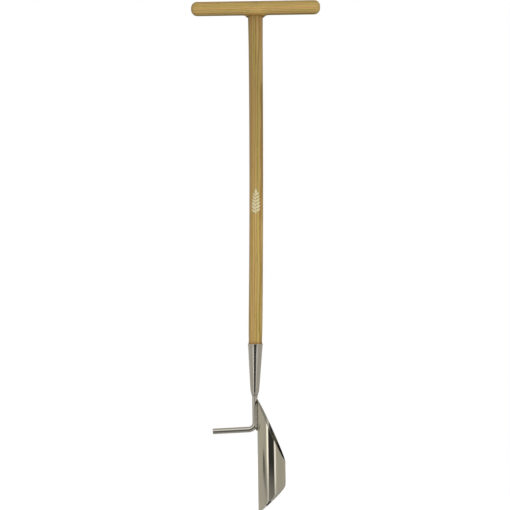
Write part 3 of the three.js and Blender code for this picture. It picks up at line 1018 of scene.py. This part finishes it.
def make_blade(outside, ground, inside):
    """Tube cut obliquely at both ends, as rings from the cutting edge up the outside and down the inside."""
    angle = turn(288)
    inner = BLADE_RADIUS - BLADE_WALL
    bevel = BEVEL_WIDTH * np.hypot(1, EDGE_SLOPE * np.sin(angle))
    rows = []
    kinds = []

    def row(radius, kind, place):
        x = BLADE_X + radius * np.cos(angle)
        rows.append(xyz(x, radius * np.sin(angle), place(x)))
        kinds.append(kind)

    def wall(radius, kind, foot, head, shares):
        for share in shares:
            def place(x):
                start = lower_cut(x) + foot
                return start + share * (upper_cut(x) - head - start)
            x = BLADE_X + radius * np.cos(angle)
            row(radius - WAVE_ROOM + blade_wave(angle, place(x)), kind, place)

    for share in np.linspace(0, 1, 7)[:-1]:
        radius = EDGE_RADIUS + share * (BLADE_RADIUS - WAVE_ROOM - EDGE_RADIUS)
        row(radius, 1, lambda x: lower_cut(x) + share * bevel)
    wall(BLADE_RADIUS, 0, bevel, 2.2 * EDGE_EASE, np.linspace(0, 1, 40))
    row(BLADE_RADIUS - EDGE_EASE, 1, upper_cut)
    row(inner + EDGE_EASE, 1, upper_cut)
    wall(inner, 2, 1.5 * EDGE_EASE, 2.2 * EDGE_EASE, np.linspace(0, 1, 40)[::-1])
    row(inner + 0.6 * EDGE_EASE, 1, lower_cut)
    blade = loft("blade_tube", leaned(np.array(rows)), [outside, ground, inside],
                 closed_rows=True, row_materials=kinds, smooth_below=22)
    co = positions(blade)
    # Straw tint from the beads, painted shade along their edges and beside the toe bead
    tints_and_shades = [0.65 * groove_heat(co), weld_crease_shade(co), toe_shade(co)]
    set_attribute(blade, "heat", np.max(tints_and_shades, axis=0))
    settle(blade, "polished_steel", "blade")


# ---------------- beads along the groove

def make_groove_bead(name, side, material, node):
    """Fused bead in the groove between the rod and the tube, laid as overlapping dimes."""
    along = np.linspace(0, 1, 240)
    ripple = ripples(along, BEAD_RIPPLES)
    ends = np.clip(np.minimum(along / 0.035, (1 - along) / 0.02), 0, 1) ** 0.5
    section = catmull_rom(BEAD_FACE + BEAD_ROOT + BEAD_FACE[:1], 45)[:-1]
    on_face = section[:, 1] > BEAD_FACE[0][1]
    crown = on_face * np.exp(-((section[:, 0] - BEAD_MIDDLE[0]) / 2.6) ** 2)
    lag = on_face * BEAD_LAG * ((section[:, 0] - BEAD_MIDDLE[0]) / BEAD_HALF) ** 2 * MM
    rows = []
    for share, swell, end in zip(along, ripple, ends):
        flat = BEAD_MIDDLE + (section - BEAD_MIDDLE) * (0.35 + 0.65 * end)
        flat[:, 1] += crown * (BEAD_SWELL * swell - 0.15) * end
        flat *= MM
        top = BEAD_HIGH_Z - BEAD_SLANT * np.maximum(BLADE_X - BLADE_RADIUS - flat[:, 0], 0)
        z = BEAD_LOW_Z + share * (top - BEAD_LOW_Z) - lag
        rows.append(xyz(flat[:, 0], side * flat[:, 1], z))
    rows = np.array(rows)
    if side > 0:
        rows = rows[:, ::-1]
    bead = loft(name, leaned(rows), [material], smooth_below=50)
    # Painted shade along the bead's sides, where it meets the rod and the tube, and at its upper end; dark
    # brown between the ripples
    edge = np.clip(np.abs(section[:, 0] - BEAD_MIDDLE[0]) / BEAD_HALF, 0, 1) ** 4
    top = np.clip((along - BEAD_SHADE_FROM) / 0.03, 0, 1)
    hollow_and_shade = np.maximum(np.maximum(0.8 - 0.8 * ripple, top)[:, None], edge[None, :])
    if side > 0:
        hollow_and_shade = hollow_and_shade[:, ::-1]
    set_attribute(bead, "hollow_and_shade", np.concatenate([hollow_and_shade.ravel(), [0.5, 0.5]]))
    settle(bead, "weld_steel", node)


def make_toe_bead(material):
    """Short bead that closes the joint between the outside of the bend and the tube."""
    size = np.array(TOE_SIZE) * MM
    around = turn(72)
    latitudes = np.radians(np.linspace(4, 176, 48))
    ripple = np.sin(TOE_RIPPLES * latitudes)
    rows = []
    for latitude, swell in zip(latitudes, ripple):
        ring = xyz(np.sin(latitude) * np.cos(around), np.cos(latitude), np.sin(latitude) * np.sin(around))
        rows.append((TOE_X, 0, TOE_Z) + ring * size * (1 + 0.06 * swell))
    bead = loft("bead_toe", leaned(np.array(rows)), [material], smooth_below=50)
    hollow_and_shade = np.repeat(0.35 - 0.35 * ripple, len(around))
    set_attribute(bead, "hollow_and_shade", np.concatenate([hollow_and_shade, [0.2, 0.2]]))
    settle(bead, "weld_steel", "blade_weld_toe")


# ---------------- studio

CAMERA_AZIMUTH = math.radians(3.6)
CAMERA_DISTANCE = 2.212
CAMERA_LENS = 69.4
CAMERA_HEIGHT = 0.576
CAMERA_SIDE = -0.8 * MM
SENSOR_WIDTH = 36


def add_camera():
    data = bpy.data.cameras.new("camera")
    data.lens = CAMERA_LENS
    data.sensor_width = SENSOR_WIDTH
    camera = add_object("camera", data)
    back = Vector((math.sin(CAMERA_AZIMUTH), -math.cos(CAMERA_AZIMUTH), 0))
    camera.location = Vector((CAMERA_SIDE, 0, CAMERA_HEIGHT)) + back * CAMERA_DISTANCE
    camera.rotation_euler = (-back).to_track_quat("-Z", "Y").to_euler()
    bpy.context.scene.camera = camera


WARM_WHITE = colour(1.0, 0.985, 0.94)
WARM_GREY = colour(1.0, 0.97, 0.86)
FILL_WHITE = colour(1.0, 0.99, 0.97)

# Brightness of what the steel mirrors; FILL is what dull surfaces get instead
GREY = 0.56
GREY_CLOUDS = 0.16
GREY_RIGHT = 0.9  # the walls' share on the right and behind
GREY_BEHIND = 0.7
BRIGHT_LEFT = 1.55
BRIGHT_RIGHT = 1.25
BRIGHT_LOW = 0.62  # the panels' share at their lower and upper ends
BRIGHT_HIGH = 0.7
DARK = 0.045
DARK_HIGH = 6 * DARK
STREAK_DARK = 0.07
STREAK_SHARE = 0.93
BACK_BRIGHT = 0.72
BACK_DARK = 0.12
FILL = 0.11

# Where it lies, in degrees: start, end and softness, first sideways and then upwards. The front is 0.
PANELS = (-37.5, 39, 5), (-70, 60, 8)
GAP = (-23.3, 24.2, 4), (-68, 26, 8)
BACK_PANELS = (-10, 34, 8), (-45, 30, 8)
BACK_GAP = (-10, 15, 4), (-42, 6, 6)

# The dark streak's edges: where each starts and ends, in degrees; before that, the two slanting ones
# have the degrees sideways that go with one degree upwards
STREAK_SIDE = (-78, -72)
STREAK_HEAD = (-11.85, -12.3)
STREAK_FOOT = (39.8, -613, -603)
STREAK_SLOPE = (12.85, -210, -224)


def add_world():
    """Soft studio round the tool: two tall light panels in front with a dark gap between them,
    a dark streak low on the left, a weaker pair of panels behind, and grey walls."""
    world = bpy.data.worlds.new("studio")
    bpy.context.scene.world = world
    tree = Tree(world)
    direction = tree.add("TexCoord").outputs["Generated"]
    x, y, z = tree.separate(direction)[:3]
    azimuth = tree.math("DEGREES", tree.math("ARCTAN2", x, tree.times(y, -1.0)))
    behind = tree.math("SUBTRACT", 180.0, tree.math("ABSOLUTE", azimuth))
    elevation = tree.math("DEGREES", tree.math("ARCSINE", z))

    def fading(value, start, end, first, last):
        return tree.mix_value(tree.smooth(value, start, end), first, last)

    def beside(steepness, start, end):
        return tree.smooth(tree.linear(elevation, steepness, azimuth), start, end)

    level = tree.times(fading(azimuth, -20, 20, BRIGHT_LEFT, BRIGHT_RIGHT),
                       fading(elevation, -12.0, -13.6, 1.0, BRIGHT_LOW),
                       fading(elevation, 10, 40, 1.0, BRIGHT_HIGH))
    walls = tree.times(tree.linear(tree.noise(direction, 2.2, 1.0), GREY_CLOUDS, GREY - GREY_CLOUDS / 2),
                       fading(behind, 65, 10, 1.0, GREY_BEHIND), fading(azimuth, 0, 60, 1.0, GREY_RIGHT))
    panels = tree.patch(azimuth, elevation, PANELS)
    gap = tree.patch(azimuth, elevation, GAP)
    light = tree.mix_value(panels, walls, level)
    light = tree.mix_value(gap, light, fading(elevation, -9.5, -3, DARK, DARK_HIGH))

    back_panels = tree.patch(behind, elevation, BACK_PANELS)
    back_gap = tree.patch(behind, elevation, BACK_GAP)
    light = tree.mix_value(back_panels, light, BACK_BRIGHT)
    light = tree.mix_value(back_gap, light, BACK_DARK)

    streak = tree.times(tree.smooth(azimuth, *STREAK_SIDE), tree.smooth(elevation, *STREAK_HEAD),
                        beside(*STREAK_FOOT), beside(*STREAK_SLOPE))
    light = tree.mix_value(tree.times(streak, STREAK_SHARE), light, STREAK_DARK)

    warm = tree.mix(panels, WARM_GREY, WARM_WHITE)
    mirrored = tree.add("Background", {"Color": tree.scaled(warm, light)}).outputs[0]
    fill = tree.add("Background", {"Color": FILL_WHITE, "Strength": FILL}).outputs[0]
    backdrop = tree.add("Background", {"Color": colour(1, 1, 1)}).outputs[0]
    path = tree.add("LightPath").outputs
    shown = tree.add("MixShader", {0: path["Is Diffuse Ray"], 1: mirrored, 2: fill}).outputs[0]
    shown = tree.add("MixShader", {0: path["Is Camera Ray"], 1: shown, 2: backdrop}).outputs[0]
    tree.add("OutputWorld", {"Surface": shown})


FLOOR_RADIUS = 0.62
FLOOR_LEVEL = -0.3 * MM
FLOOR_SIDES = 128
FLOOR_WHITE = colour(0.9, 0.9, 0.9)
FLOOR_GLOW = 0.64
FLOOR_MIRRORED = 0.50  # brightness of its reflection, and how solid that is
FLOOR_SHARE = 0.52


def floor_material():
    """White to the camera with a soft shadow; in reflections a grey ring that fades outwards."""
    material, tree = new_material("floor")
    reach = tree.vector("LENGTH", tree.object_position())
    fade = tree.math("SUBTRACT", 1.0, tree.smooth(reach, 0.10, FLOOR_RADIUS))
    solid = tree.times(fade, tree.smooth(reach, 0.06, 0.11), FLOOR_SHARE)
    diffuse = tree.add("BsdfDiffuse", {"Color": FLOOR_WHITE}).outputs[0]
    glow = tree.add("Emission", {"Color": colour(1, 1, 1), "Strength": FLOOR_GLOW}).outputs[0]
    white = tree.add("AddShader", {0: diffuse, 1: glow}).outputs[0]
    grey = tree.add("Emission", {"Color": WARM_WHITE, "Strength": FLOOR_MIRRORED}).outputs[0]
    clear = tree.add("BsdfTransparent").outputs[0]
    mirrored = tree.add("MixShader", {0: solid, 1: clear, 2: grey}).outputs[0]
    path = tree.add("LightPath").outputs
    shown = tree.add("MixShader", {0: path["Is Camera Ray"], 1: mirrored, 2: white}).outputs[0]
    tree.add("OutputMaterial", {"Surface": shown})
    return material


def add_floor():
    rings = lathe_rings([(FLOOR_RADIUS, FLOOR_LEVEL), (1 * MM, FLOOR_LEVEL)], FLOOR_SIDES)
    faces = ring_faces(2, FLOOR_SIDES) + [tuple(range(FLOOR_SIDES, 2 * FLOOR_SIDES))]
    floor = add_mesh("floor", rings.reshape(-1, 3), faces, [floor_material()])


# Name, place, width and height in metres, power in watts; all face the tool's middle
LIGHT_TARGET = (0, 0, 0.6)
LIGHTS = [
    ("front_light", (0.22, -2.7, 1.05), (0.9, 1.2), 46),
    ("back_light", (0.9, 2.6, 0.95), (1.6, 1.6), 34),
    ("right_light", (2.4, 0.6, 0.95), (0.9, 1.4), 14),
    ("left_light", (-2.2, 1.6, 1.0), (0.9, 1.4), 14),
]


def add_lights():
    """Area lights that only dull surfaces see."""
    for name, place, size, power in LIGHTS:
        data = bpy.data.lights.new(name, "AREA")
        data.shape = "RECTANGLE"
        data.size, data.size_y = size
        data.energy = power
        light = add_object(name, data)
        light.location = place
        light.rotation_euler = (Vector(LIGHT_TARGET) - Vector(place)).to_track_quat("-Z", "Y").to_euler()
        light.visible_glossy = False
        light.visible_camera = False


# ---------------- the scene

def build():
    shaft_ash = ash_material("ash_shaft", "Z", pith=(-46, 26), tilt=0.004, ring_width=3.9, seed=3.0,
                             darkening_span=(600, 950))
    grip_ash = ash_material("ash_grip", "X", pith=(50, 30), tilt=0.006, ring_width=3.6, seed=11.0)
    polished = polished_material("polished_steel")
    tube_steel = polished_material("polished_tube", roughness=0.06, tint=TUBE_STEEL)
    socket_steel = polished_material("polished_socket", roughness=0.19, tint=SOCKET_STEEL)
    screw_steel = polished_material("screw_steel", roughness=0.16, tint=SCREW_STEEL)
    weld = weld_material("weld_steel")
    inside = inner_material("drawn_steel")
    ground = ground_material("ground_steel")

    make_grip(grip_ash)
    make_shaft(shaft_ash)
    make_wedge(end_grain("wedge_wood"))
    make_sprig(ink_material("print_ink"))
    make_socket(socket_steel, inside)
    make_screw(screw_steel)
    make_collar_weld(weld)
    make_rod(polished)
    make_blade(tube_steel, ground, inside)
    make_groove_bead("bead_front", -1, weld, "blade_weld_front")
    make_groove_bead("bead_rear", 1, weld, "blade_weld_rear")
    make_toe_bead(weld)


build()
add_camera()
add_world()
add_floor()
add_lights()
bpy.context.scene.view_settings.view_transform = "Standard"
